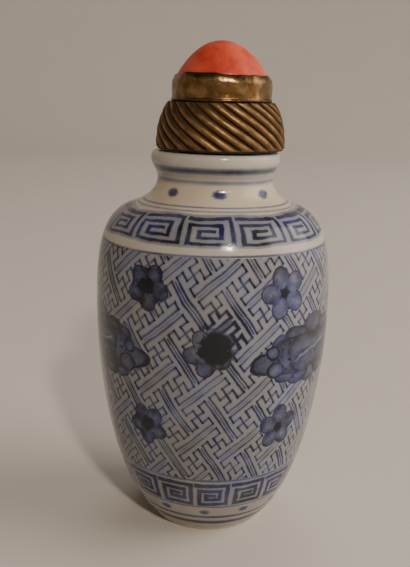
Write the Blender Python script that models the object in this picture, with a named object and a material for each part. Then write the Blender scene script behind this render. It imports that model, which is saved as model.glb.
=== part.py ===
"""Porcelain snuff bottle with a ribbed metal stopper that holds a coral cabochon."""
import math

import bmesh
import bpy
from mathutils import Vector
from mathutils.geometry import interpolate_bezier

MM = 0.001

# Clearance between pieces that touch on the real thing
GAP = 0.3 * MM

# Bottle: radii from its upright axis, heights from the table
BOTTLE_HEIGHT = 62.0 * MM
BELLY_RADIUS = 19.15 * MM
BELLY_LEVEL = 37.25 * MM
FOOT_RADIUS = 9.9 * MM
FOOT_EDGE = 0.3 * MM
FOOT_RIM_WIDTH = 1.8 * MM
FOOT_RECESS = 1.2 * MM
SHOULDER_RADIUS = 13.75 * MM
SHOULDER_DROP = 8.65 * MM
NECK_RADIUS = 9.23 * MM
NECK_DROP = 4.4 * MM
LIP_RADIUS = 10.3 * MM
LIP_DROP = 1.1 * MM
MOUTH_RADIUS = 5.8 * MM
MOUTH_EDGE = 0.5 * MM
WALL = 2.4 * MM
FLOOR = 3.0 * MM
CAVITY_CORNER = 3.4 * MM
BORE_DEPTH = 8.6 * MM
BOTTLE_SEGMENTS = 48

# Lean of the outline from upright, and how far each curve is pulled along it
FOOT_LEAN = math.radians(45)
SHOULDER_LEAN = math.radians(71.85)
BOWL_PULL = (0.25, 0.315)
SHOULDER_PULL = (0.457, 0.294)
NECK_PULL = (0.489, 0.282)
LIP_PULL = (0.40, 0.27)
ROUND_PULL = 0.39

# Stopper: it sits a little to one side of the bottle's axis
STOPPER_SHIFT = 0.7 * MM
CAP_RADIUS = 10.3 * MM
CAP_HEIGHT = 7.2 * MM
CAP_WALL = 0.7 * MM
CAP_SHOULDER = 0.45 * MM
CAP_TOP_LEAN = math.radians(35)
CAP_PULL = 0.34
CAP_ROLL = 0.9 * MM
BASE_SETBACK = 0.95 * MM
BASE_EDGE = 0.4 * MM
RIB_COUNT = 25
RIB_POINTS = 5
RIB_DEPTH = 0.5 * MM
RIB_TWIST = math.radians(62)
RIB_FULLNESS = 0.6
RIB_FADE = 0.5

# Cork plug under the cap
CORK_REACH = 5.7 * MM
CORK_TAPER = 0.3 * MM
CORK_SEGMENTS = 28

# Bezel and the stone that it holds
STONE_RADIUS = 7.0 * MM
STONE_GIRDLE = 3.85 * MM
STONE_DOME = 5.15 * MM
STONE_ROUNDNESS = 0.16
STONE_SEGMENTS = 44
STONE_STEPS = 8
BEZEL_HEIGHT = 3.6 * MM
BEZEL_WALL = 0.7 * MM
BEZEL_RIM_WALL = 0.3 * MM
BEZEL_RIM_HEIGHT = 1.2 * MM
BEZEL_RIM_LEAN = math.radians(30)

# Levels and radii that follow from the sizes above
SHOULDER_LEVEL = BOTTLE_HEIGHT - SHOULDER_DROP
NECK_LEVEL = BOTTLE_HEIGHT - NECK_DROP
LIP_LEVEL = BOTTLE_HEIGHT - LIP_DROP
CORK_RADIUS = MOUTH_RADIUS - GAP
CAP_BASE = BOTTLE_HEIGHT + GAP
CAP_TOP = CAP_BASE + CAP_HEIGHT
CAP_CEILING = CAP_TOP - CAP_WALL
SETTING_BASE = CAP_TOP + GAP
BEZEL_BORE = STONE_RADIUS + GAP
BEZEL_RADIUS = BEZEL_BORE + BEZEL_WALL


def clear_scene():
    for obj in list(bpy.data.objects):
        bpy.data.objects.remove(obj, do_unlink=True)


def heading(lean, inward=False):
    """Unit direction up the outline, leaning outward, or inward, from upright."""
    side = -1 if inward else 1
    return Vector((side * math.sin(lean), 0, math.cos(lean)))


def at(radius, level):
    return Vector((radius, 0, level))


def curve(start, start_heading, end, end_heading, pulls, points):
    """Points of one smooth stretch of outline, both ends included."""
    span = (end - start).length
    return interpolate_bezier(
        start,
        start + start_heading * span * pulls[0],
        end - end_heading * span * pulls[1],
        end,
        points,
    )


def join(*stretches):
    """One outline from stretches that share their end points."""
    outline = list(stretches[0])
    for stretch in stretches[1:]:
        outline += stretch[1:]
    return outline


def offset_inward(outline, distance):
    """Points moved square to an outline that runs upward, to its inner side."""
    moved = []
    last = len(outline) - 1
    for i, point in enumerate(outline):
        run = (outline[min(i + 1, last)] - outline[max(i - 1, 0)]).normalized()
        moved.append(point + Vector((-run.z, 0, run.x)) * distance)
    return moved


def make_material(name, colour, roughness, metallic=0.0):
    material = bpy.data.materials.new(name)
    material.use_nodes = True
    shader = material.node_tree.nodes["Principled BSDF"]
    shader.inputs["Base Color"].default_value = (*colour, 1.0)
    shader.inputs["Roughness"].default_value = roughness
    shader.inputs["Metallic"].default_value = metallic
    return material


def finish_piece(name, bm, material, location=(0, 0, 0), sharp_angle=40):
    """Close, orient and smooth a mesh, and put it in the scene as a named piece."""
    bmesh.ops.remove_doubles(bm, verts=bm.verts, dist=0.001 * MM)
    bmesh.ops.recalc_face_normals(bm, faces=bm.faces)
    mesh = bpy.data.meshes.new(name)
    bm.to_mesh(mesh)
    bm.free()
    mesh.shade_smooth()
    mesh.set_sharp_from_angle(angle=math.radians(sharp_angle))
    mesh.materials.append(material)
    piece = bpy.data.objects.new(name, mesh)
    piece.location = location
    bpy.context.scene.collection.objects.link(piece)
    return piece


def turn(outline, segments):
    """Turn an outline in the XZ plane about the Z axis."""
    bm = bmesh.new()
    verts = [bm.verts.new(point) for point in outline]
    edges = [bm.edges.new(pair) for pair in zip(verts, verts[1:])]
    bmesh.ops.spin(
        bm,
        geom=verts + edges,
        cent=(0, 0, 0),
        axis=(0, 0, 1),
        angle=math.tau,
        steps=segments,
        use_merge=True,
    )
    return bm


def skin_rings(rings):
    """Skin rings of equal count in order, and close the first and last to a point."""
    bm = bmesh.new()
    loops = [[bm.verts.new(point) for point in ring] for ring in rings]
    count = len(loops[0])
    for lower, upper in zip(loops, loops[1:]):
        for i in range(count):
            j = (i + 1) % count
            bm.faces.new((lower[i], lower[j], upper[j], upper[i]))
    for loop in (loops[0], loops[-1]):
        middle = sum((vert.co for vert in loop), Vector()) / count
        pole = bm.verts.new(middle)
        for i in range(count):
            bm.faces.new((loop[i], loop[(i + 1) % count], pole))
    return bm


def body_outline(bowl_points, over_points):
    """Outer outline of the bowl and shoulder, from the foot's edge upward."""
    foot = at(FOOT_RADIUS, FOOT_EDGE)
    belly = at(BELLY_RADIUS, BELLY_LEVEL)
    shoulder = at(SHOULDER_RADIUS, SHOULDER_LEVEL)
    upright = heading(0)
    turned_in = heading(SHOULDER_LEAN, True)
    bowl = curve(foot, heading(FOOT_LEAN), belly, upright, BOWL_PULL, bowl_points)
    over = curve(belly, upright, shoulder, turned_in, SHOULDER_PULL, over_points)
    return join(bowl, over)


def neck_outline():
    """Outer outline from the shoulder's turn, up the neck and over the lip."""
    shoulder = at(SHOULDER_RADIUS, SHOULDER_LEVEL)
    neck = at(NECK_RADIUS, NECK_LEVEL)
    lip = at(LIP_RADIUS, LIP_LEVEL)
    lip_edge = at(LIP_RADIUS - LIP_DROP, BOTTLE_HEIGHT)
    upright = heading(0)
    rise = curve(shoulder, heading(SHOULDER_LEAN, True), neck, upright, NECK_PULL, 5)
    flare = curve(neck, upright, lip, upright, LIP_PULL, 5)
    roll = curve(lip, upright, lip_edge, Vector((-1, 0, 0)), (ROUND_PULL, ROUND_PULL), 3)
    return join(rise, flare, roll)


def cavity_outline():
    """Inner outline from the middle of the floor, up the wall and the bore to the mouth."""
    floor_level = FOOT_RECESS + FLOOR
    wall = offset_inward(body_outline(7, 6), WALL)
    wall = [point for point in wall if point.z > floor_level + CAVITY_CORNER]
    low_run = (wall[1] - wall[0]).normalized()
    corner_start = at(wall[0].x - CAVITY_CORNER, floor_level)
    bore_foot = at(MOUTH_RADIUS, BOTTLE_HEIGHT - BORE_DEPTH)
    mouth = at(MOUTH_RADIUS, BOTTLE_HEIGHT - MOUTH_EDGE)
    mouth_edge = at(MOUTH_RADIUS + MOUTH_EDGE, BOTTLE_HEIGHT)
    outward = Vector((1, 0, 0))
    turned_in = heading(SHOULDER_LEAN, True)
    corner = curve(corner_start, outward, wall[0], low_run, (ROUND_PULL, ROUND_PULL), 4)
    throat = curve(wall[-1], turned_in, bore_foot, heading(0), (ROUND_PULL, ROUND_PULL), 4)
    edge = curve(mouth, heading(0), mouth_edge, outward, (ROUND_PULL, ROUND_PULL), 3)
    return [at(0, floor_level)] + join(corner, wall, throat) + edge


def foot_outline():
    """Underside from the middle of the recess out to the foot's edge."""
    rim_outside = at(FOOT_RADIUS - FOOT_EDGE, 0)
    rim_inside = at(rim_outside.x - FOOT_RIM_WIDTH, 0)
    recess_edge = at(rim_inside.x - FOOT_RECESS, FOOT_RECESS)
    down = Vector((0, 0, -1))
    cove = curve(recess_edge, Vector((1, 0, 0)), rim_inside, down, (ROUND_PULL, ROUND_PULL), 3)
    return [at(0, FOOT_RECESS)] + cove + [rim_outside]


def make_bottle(material):
    outer = foot_outline() + join(body_outline(10, 8), neck_outline())
    outline = outer + list(reversed(cavity_outline()))
    return finish_piece("bottle", turn(outline, BOTTLE_SEGMENTS), material)


def make_cork(material):
    bottom = BOTTLE_HEIGHT - CORK_REACH
    outline = [
        at(0, bottom),
        at(CORK_RADIUS - CORK_TAPER, bottom),
        at(CORK_RADIUS, BOTTLE_HEIGHT),
        at(CORK_RADIUS, CAP_CEILING - GAP),
        at(0, CAP_CEILING - GAP),
    ]
    return finish_piece("cork", turn(outline, CORK_SEGMENTS), material)


def plain_ring(radius, level, twist=0.0, shift=0.0):
    """Round ring of the cap, with as many points as its ribbed rings."""
    count = RIB_COUNT * RIB_POINTS
    angles = [math.tau * i / count + twist for i in range(count)]
    return [Vector((radius * math.cos(a) + shift, radius * math.sin(a), level)) for a in angles]


def ribbed_ring(radius, level, twist, depth):
    """Ring with one broad round ridge and one narrow groove for each rib."""
    ring = []
    for i in range(RIB_COUNT * RIB_POINTS):
        along_rib = (i % RIB_POINTS) / RIB_POINTS
        fullness = math.sin(math.pi * along_rib) ** RIB_FULLNESS
        angle = math.tau * i / (RIB_COUNT * RIB_POINTS) + twist
        reach = radius - depth * (1 - fullness)
        ring.append(Vector((reach * math.cos(angle), reach * math.sin(angle), level)))
    return ring


def make_cap(material):
    """Hollow ribbed dome with a base plate, bored for the cork."""
    base_radius = CAP_RADIUS - BASE_SETBACK
    top_radius = BEZEL_RADIUS + CAP_SHOULDER
    wall_drop = RIB_DEPTH + CAP_WALL
    hole = CORK_RADIUS + GAP
    edge_top = at(base_radius, CAP_BASE + BASE_EDGE)
    widest = at(CAP_RADIUS, CAP_BASE + BASE_EDGE + CAP_ROLL)
    top = at(top_radius, CAP_TOP)
    outward = Vector((1, 0, 0))
    roll = curve(edge_top, outward, widest, heading(0), (ROUND_PULL, ROUND_PULL), 4)
    dome = curve(widest, heading(0), top, heading(CAP_TOP_LEAN, True), (CAP_PULL, CAP_PULL), 6)
    ribs = join(roll, dome)[1:]

    rings = [
        plain_ring(top_radius - wall_drop, CAP_CEILING),
        plain_ring(CAP_RADIUS - wall_drop, CAP_BASE + CAP_WALL),
        plain_ring(hole, CAP_BASE + CAP_WALL, shift=-STOPPER_SHIFT),
        plain_ring(hole, CAP_BASE, shift=-STOPPER_SHIFT),
        plain_ring(base_radius, CAP_BASE),
        plain_ring(base_radius, CAP_BASE + BASE_EDGE),
    ]
    for point in ribs:
        rise = (point.z - ribs[0].z) / (CAP_TOP - ribs[0].z)
        depth = RIB_DEPTH * (1 - RIB_FADE * rise ** 4)
        rings.append(ribbed_ring(point.x, point.z, -RIB_TWIST * rise, depth))
    return finish_piece("stopper_cap", skin_rings(rings), material, (STOPPER_SHIFT, 0, 0), 30)


def make_bezel(material):
    """Metal collar whose rim thins and leans in on the stone."""
    rim_start = SETTING_BASE + BEZEL_HEIGHT - BEZEL_RIM_HEIGHT
    rim_top = SETTING_BASE + BEZEL_HEIGHT
    rim = curve(
        at(BEZEL_RADIUS, rim_start),
        heading(0),
        at(BEZEL_BORE + BEZEL_RIM_WALL, rim_top),
        heading(BEZEL_RIM_LEAN, True),
        (ROUND_PULL, ROUND_PULL),
        4,
    )
    outline = [at(BEZEL_BORE, SETTING_BASE), at(BEZEL_RADIUS, SETTING_BASE)]
    outline += rim + [at(BEZEL_BORE, rim_top), at(BEZEL_BORE, SETTING_BASE)]
    bm = turn(outline, STONE_SEGMENTS)
    return finish_piece("bezel", bm, material, (STOPPER_SHIFT, 0, 0))


def make_cabochon(material):
    """Stone with a straight girdle and a tall rounded dome."""
    apex = SETTING_BASE + STONE_GIRDLE + STONE_DOME
    outline = [at(0, SETTING_BASE), at(STONE_RADIUS, SETTING_BASE)]
    for i in range(STONE_STEPS + 1):
        drop = (1 - i / STONE_STEPS) ** 2
        share = drop * (1 - STONE_ROUNDNESS * drop) / (1 - STONE_ROUNDNESS)
        outline.append(at(STONE_RADIUS * math.sqrt(share), apex - STONE_DOME * drop))
    bm = turn(outline, STONE_SEGMENTS)
    return finish_piece("cabochon", bm, material, (STOPPER_SHIFT, 0, 0))


def main():
    clear_scene()
    porcelain = make_material("porcelain", (0.78, 0.76, 0.71), 0.12)
    gilt = make_material("worn_gilt", (0.34, 0.23, 0.11), 0.42, 1.0)
    coral = make_material("coral", (0.52, 0.08, 0.04), 0.28)
    cork = make_material("cork", (0.46, 0.31, 0.18), 0.9)
    make_bottle(porcelain)
    make_cork(cork)
    make_cap(gilt)
    make_bezel(gilt)
    make_cabochon(coral)


main()
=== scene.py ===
import math
import bmesh
import bpy
from functools import reduce
from mathutils import Matrix, Vector, noise
from mathutils.geometry import interpolate_bezier


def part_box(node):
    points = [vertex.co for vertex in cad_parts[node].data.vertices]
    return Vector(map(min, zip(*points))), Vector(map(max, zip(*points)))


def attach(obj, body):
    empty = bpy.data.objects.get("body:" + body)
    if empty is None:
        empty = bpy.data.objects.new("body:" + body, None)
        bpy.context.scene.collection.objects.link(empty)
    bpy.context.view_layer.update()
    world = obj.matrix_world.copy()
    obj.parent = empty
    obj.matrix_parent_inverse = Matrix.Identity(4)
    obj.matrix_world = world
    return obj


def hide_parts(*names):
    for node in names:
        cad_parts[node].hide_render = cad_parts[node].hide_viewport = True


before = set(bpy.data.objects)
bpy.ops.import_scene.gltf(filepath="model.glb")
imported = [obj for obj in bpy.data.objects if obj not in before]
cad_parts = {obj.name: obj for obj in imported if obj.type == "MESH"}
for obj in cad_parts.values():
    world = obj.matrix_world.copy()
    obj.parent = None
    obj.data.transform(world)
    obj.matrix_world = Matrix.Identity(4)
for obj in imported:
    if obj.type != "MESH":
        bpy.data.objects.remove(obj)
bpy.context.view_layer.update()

mm = 0.001
bottleLow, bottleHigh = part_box("bottle")
capLow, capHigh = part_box("stopper_cap")
stoneLow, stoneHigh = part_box("cabochon")

bottleHeight = bottleHigh.z - bottleLow.z
bellyRadius = (bottleHigh.x - bottleLow.x) / 2
stopperShift = (stoneLow.x + stoneHigh.x) / 2
girth = math.tau * bellyRadius / mm


# small helpers for shader trees

def wire(tree, value, socket):
    if isinstance(value, bpy.types.NodeSocket):
        tree.links.new(value, socket)
    else:
        socket.default_value = value


def doMath(tree, operation, *values):
    node = tree.nodes.new("ShaderNodeMath")
    node.operation = operation
    for slot, value in enumerate(values):
        wire(tree, value, node.inputs[slot])
    return node.outputs[0]


def times(tree, first, second):
    return doMath(tree, "MULTIPLY", first, second)


def minus(tree, first, second):
    return doMath(tree, "SUBTRACT", first, second)


def doVector(tree, operation, *values, scale=None):
    node = tree.nodes.new("ShaderNodeVectorMath")
    node.operation = operation
    for slot, value in enumerate(values):
        wire(tree, value, node.inputs[slot])
    if scale is not None:
        wire(tree, scale, node.inputs["Scale"])
    return node.outputs["Value" if operation == "LENGTH" else "Vector"]


def pack(tree, x, y, z=0.0):
    node = tree.nodes.new("ShaderNodeCombineXYZ")
    for value, socket in zip((x, y, z), node.inputs):
        wire(tree, value, socket)
    return node.outputs[0]


def unpack(tree, vector):
    node = tree.nodes.new("ShaderNodeSeparateXYZ")
    wire(tree, vector, node.inputs[0])
    return node.outputs


def ramp(tree, value, fromLow, fromHigh, toLow=0.0, toHigh=1.0, smooth=False):
    node = tree.nodes.new("ShaderNodeMapRange")
    node.interpolation_type = "SMOOTHSTEP" if smooth else "LINEAR"
    for socket, amount in zip(node.inputs, (value, fromLow, fromHigh, toLow, toHigh)):
        wire(tree, amount, socket)
    return node.outputs[0]


def grain(tree, vector, scale, detail=2.0, roughness=0.5, distortion=0.0, colour=False):
    node = tree.nodes.new("ShaderNodeTexNoise")
    wire(tree, vector, node.inputs["Vector"])
    wire(tree, scale, node.inputs["Scale"])
    wire(tree, detail, node.inputs["Detail"])
    wire(tree, roughness, node.inputs["Roughness"])
    wire(tree, distortion, node.inputs["Distortion"])
    return node.outputs["Color" if colour else "Fac"]


def blendColour(tree, amount, first, second, mode="MIX"):
    node = tree.nodes.new("ShaderNodeMix")
    node.data_type = "RGBA"
    node.blend_type = mode
    wire(tree, amount, node.inputs["Factor"])
    for name, value in (("A", first), ("B", second)):
        socket = [s for s in node.inputs if s.name == name and s.type == "RGBA"][0]
        wire(tree, value if isinstance(value, bpy.types.NodeSocket) else (*value, 1.0), socket)
    return [s for s in node.outputs if s.type == "RGBA"][0]


def colourRamp(tree, value, stops):
    node = tree.nodes.new("ShaderNodeValToRGB")
    wire(tree, value, node.inputs[0])
    points = node.color_ramp.elements
    while len(points) < len(stops):
        points.new(0.5)
    for point, (place, colour) in zip(points, stops):
        point.position = place
        point.color = (*colour, 1.0)
    return node.outputs[0]


def newGroup(name, takes, gives):
    tree = bpy.data.node_groups.new(name, "ShaderNodeTree")
    kinds = {float: "NodeSocketFloat", tuple: "NodeSocketVector", list: "NodeSocketColor"}
    for label, value in takes.items():
        socket = tree.interface.new_socket(label, in_out="INPUT", socket_type=kinds[type(value)])
        socket.default_value = value
    for label, kind in gives.items():
        tree.interface.new_socket(label, in_out="OUTPUT", socket_type=kinds[kind])
    start = tree.nodes.new("NodeGroupInput")
    end = tree.nodes.new("NodeGroupOutput")
    return tree, start.outputs, end.inputs


def useGroup(tree, group, **values):
    node = tree.nodes.new("ShaderNodeGroup")
    node.node_tree = group
    for name, value in values.items():
        wire(tree, value, node.inputs[name])
    return node.outputs


def smallest(tree, values):
    return reduce(lambda first, second: doMath(tree, "MINIMUM", first, second), values)


def largest(tree, values):
    return reduce(lambda first, second: doMath(tree, "MAXIMUM", first, second), values)


# node groups that lay out the painted pattern, in mm round the belly (X) and mm of height (Z)

def makeUnrollGroup():
    tree, given, out = newGroup(
        "unrolledDrawing",
        {"Vector": (0.0, 0.0, 0.0), "Wobble": 0.1, "Drift": 0.2},
        {"X": float, "Z": float, "Place": tuple},
    )
    place = doVector(tree, "SCALE", given["Vector"], scale=1 / mm)
    x, y, z = unpack(tree, place)
    angle = doMath(tree, "ARCTAN2", x, times(tree, y, -1.0))
    along = times(tree, angle, bellyRadius / mm)
    fine = doVector(tree, "SUBTRACT", grain(tree, place, 0.6, 1.0, colour=True), (0.5, 0.5, 0.5))
    slow = doVector(tree, "SUBTRACT", grain(tree, place, 0.16, 0.0, colour=True), (0.5, 0.5, 0.5))
    fine = doVector(tree, "SCALE", fine, scale=times(tree, given["Wobble"], 4.0))
    slow = doVector(tree, "SCALE", slow, scale=times(tree, given["Drift"], 4.0))
    shift = unpack(tree, doVector(tree, "ADD", fine, slow))
    wire(tree, doMath(tree, "ADD", along, shift[0]), out["X"])
    wire(tree, doMath(tree, "ADD", z, shift[2]), out["Z"])
    wire(tree, place, out["Place"])
    return tree


def makeStrokeGroup():
    # distance to one straight brush stroke with square ends
    tree, given, out = newGroup(
        "brushStroke",
        {"X": 0.0, "Y": 0.0, "MiddleX": 0.0, "MiddleY": 0.0, "ReachX": 0.0, "ReachY": 0.0},
        {"Distance": float},
    )
    sides = []
    for side in "XY":
        away = doMath(tree, "ABSOLUTE", minus(tree, given[side], given["Middle" + side]))
        sides.append(minus(tree, away, given["Reach" + side]))
    wire(tree, largest(tree, sides), out["Distance"])
    return tree


def strokeRun(tree, strokeGroup, x, y, corners):
    # one distance to a run of strokes from corner to corner
    nearest = None
    for (x0, y0), (x1, y1) in zip(corners, corners[1:]):
        stroke = useGroup(
            tree, strokeGroup, X=x, Y=y, MiddleX=(x0 + x1) / 2, MiddleY=(y0 + y1) / 2,
            ReachX=abs(x1 - x0) / 2, ReachY=abs(y1 - y0) / 2,
        )["Distance"]
        nearest = stroke if nearest is None else doMath(tree, "MINIMUM", nearest, stroke)
    return nearest


# key-fret ground: a four-armed key in each square cell, mirrored from cell to cell
latticeLook = {
    "turnsUp": 9,          # double cells round the belly along each diagonal
    "turnsDown": 7,
    "slopeUp": 41.0,
    "slopeDown": 56.2,
    "originX": -1.7,
    "originZ": 24.2,
    "span": 5.0,           # a cell is this many key units wide, and the sizes below are in these units
    "arm": 1.06,
    "hook": 1.22,
    "bar": 2.08,
    "barEnd": 2.6,
    "midwayStart": -0.9,
    "lineScale": 0.84,
    "low": 12.55,
    "high": 48.25,
}


def makeKeyArmGroup(strokeGroup):
    # strokes that run along the arm and across it, the line midway to the next key, and the corners
    look = latticeLook
    arm, hook, bar = look["arm"], look["hook"], look["bar"]
    edge, barEnd = look["span"] / 2, look["barEnd"]
    tree, given, out = newGroup(
        "keyArm", {"X": 0.0, "Y": 0.0},
        {"Along": float, "Across": float, "Midway": float, "Corner": float},
    )
    x, y = given["X"], given["Y"]
    runs = {
        "Along": ([(0, 0), (arm, 0)], [(arm, -hook), (bar, -hook)]),
        "Across": ([(arm, 0), (arm, -hook)], [(bar, -hook), (bar, barEnd)]),
        "Midway": ([(edge, look["midwayStart"]), (edge, barEnd)],),
    }
    for name, pieces in runs.items():
        distances = [strokeRun(tree, strokeGroup, x, y, run) for run in pieces]
        wire(tree, smallest(tree, distances), out[name])
    point = pack(tree, x, y)
    corners = [
        doVector(tree, "LENGTH", doVector(tree, "SUBTRACT", point, corner))
        for corner in ((arm, 0, 0), (arm, -hook, 0), (bar, -hook, 0))
    ]
    wire(tree, smallest(tree, corners), out["Corner"])
    return tree


def makeLatticeGroup(strokeGroup, inkGroup):
    look = latticeLook
    armTree = makeKeyArmGroup(strokeGroup)
    tree, given, out = newGroup(
        "keyFretGround",
        {"X": 0.0, "Z": 0.0, "Place": (0.0, 0.0, 0.0), "Half": 0.13, "Strength": 0.8},
        {"Ink": float},
    )
    x = minus(tree, given["X"], look["originX"])
    z = minus(tree, given["Z"], look["originZ"])
    leanUp = 1 / math.tan(math.radians(look["slopeUp"]))
    leanDown = 1 / math.tan(math.radians(look["slopeDown"]))
    u = doMath(tree, "MULTIPLY_ADD", z, leanDown, x)
    v = minus(tree, x, times(tree, z, leanUp))
    u = doMath(tree, "MULTIPLY_ADD", u, 2 * look["turnsUp"] / girth, 0.5)
    v = doMath(tree, "MULTIPLY_ADD", v, 2 * look["turnsDown"] / girth, 0.5)
    span = look["span"]
    u = doMath(tree, "MULTIPLY_ADD", doMath(tree, "PINGPONG", u, 1.0), span, -span / 2)
    v = doMath(tree, "MULTIPLY_ADD", doMath(tree, "PINGPONG", v, 1.0), span, -span / 2)
    minusU = times(tree, u, -1.0)
    minusV = times(tree, v, -1.0)
    turned = ((u, v), (v, minusU), (minusU, minusV), (minusV, u))
    arms = [useGroup(tree, armTree, X=across, Y=up) for across, up in turned]
    unit = girth / 2 / look["turnsUp"] / span * look["lineScale"]
    upward = [arms[0]["Along"], arms[2]["Along"], arms[1]["Across"], arms[3]["Across"]]
    downward = [arms[0]["Across"], arms[2]["Across"], arms[1]["Along"], arms[3]["Along"]]
    upMiddle = doMath(tree, "MINIMUM", arms[1]["Midway"], arms[3]["Midway"])
    downMiddle = doMath(tree, "MINIMUM", arms[0]["Midway"], arms[2]["Midway"])
    corner = smallest(tree, [arm["Corner"] for arm in arms])
    pooled = ramp(tree, corner, 0.0, 0.36, 1.0, 0.0, True)
    half = doMath(tree, "MULTIPLY_ADD", pooled, 0.025, given["Half"])
    inks = []
    # distance to the lines, then their share of the thickness and of the ink
    runs = (
        (smallest(tree, upward), 1.0, 0.80),
        (smallest(tree, downward), 1.1, 1.0),
        (upMiddle, 0.75, 0.55),
        (downMiddle, 0.85, 0.85),
    )
    for distance, thickness, share in runs:
        distance = times(tree, distance, unit)
        thick = times(tree, half, thickness)
        ink = useGroup(
            tree, inkGroup, Distance=distance, Half=thick, Soft=0.13, Place=given["Place"], Ragged=0.10,
        )["Ink"]
        bled = ramp(tree, distance, 0.05, 0.9, 0.40, 0.0)
        inks.append(doMath(tree, "MAXIMUM", times(tree, ink, share), bled))
    ink = largest(tree, inks)
    strength = doMath(tree, "MULTIPLY_ADD", pooled, 0.22, given["Strength"])
    ink = times(tree, ink, strength)
    low = ramp(tree, given["Z"], look["low"] - 0.05, look["low"])
    high = ramp(tree, given["Z"], look["high"] + 0.05, look["high"])
    ink = times(tree, ink, times(tree, low, high))
    wire(tree, doMath(tree, "MINIMUM", ink, 1.0), out["Ink"])
    return tree


# square spirals of the two fret bands, as corners in mm from the middle of one unit
upperFret = {
    "count": 13, "middleX": -0.5, "stretch": 2.1, "low": 49.6, "high": 53.6, "half": 0.42,
    "corners": [(-4.35, 53.2), (3.75, 53.2), (3.75, 50.15), (-3.85, 50.15), (-3.85, 52.5), (1.8, 52.5),
                (1.8, 50.95), (-1.95, 50.95), (-1.95, 51.8), (0.5, 51.8)],
}
lowerFret = {
    "count": 16, "middleX": 1.06, "stretch": 1.25, "low": 6.9, "high": 12.0, "half": 0.47,
    "corners": [(-3.3, 11.4), (3.1, 11.4), (3.1, 7.45), (-2.6, 7.45), (-2.6, 10.35), (1.65, 10.35),
                (1.65, 8.55), (-1.15, 8.55), (-1.15, 9.4), (0.5, 9.4)],
}


def makeFretGroup(name, strokeGroup, look):
    width = girth / look["count"]
    stretch = look["stretch"]
    tree, given, out = newGroup(name, {"X": 0.0, "Z": 0.0}, {"Distance": float})
    x = doMath(tree, "ADD", given["X"], width / 2 - look["middleX"])
    x = minus(tree, doMath(tree, "FLOORED_MODULO", x, width), width / 2)
    z = times(tree, given["Z"], stretch)
    corners = [(across, level * stretch) for across, level in look["corners"]]
    wire(tree, strokeRun(tree, strokeGroup, x, z, corners), out["Distance"])
    return tree


def makeInkGroup():
    # turns a distance into ink: a line or a filled shape with a soft, slightly ragged edge
    tree, given, out = newGroup(
        "inkEdge",
        {"Distance": 0.0, "Half": 0.15, "Soft": 0.06, "Place": (0.0, 0.0, 0.0), "Ragged": 0.05},
        {"Ink": float},
    )
    rough = minus(tree, grain(tree, given["Place"], 2.2, 2.0), 0.5)
    distance = doMath(tree, "MULTIPLY_ADD", rough, given["Ragged"], given["Distance"])
    high = doMath(tree, "ADD", given["Half"], given["Soft"])
    low = minus(tree, given["Half"], given["Soft"])
    wire(tree, ramp(tree, distance, low, high, 1.0, 0.0, True), out["Ink"])
    return tree


blossomLook = {"petalReach": 0.60, "petalRadius": 0.42, "petalNarrow": 1.12}   # shares of the flower


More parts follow.
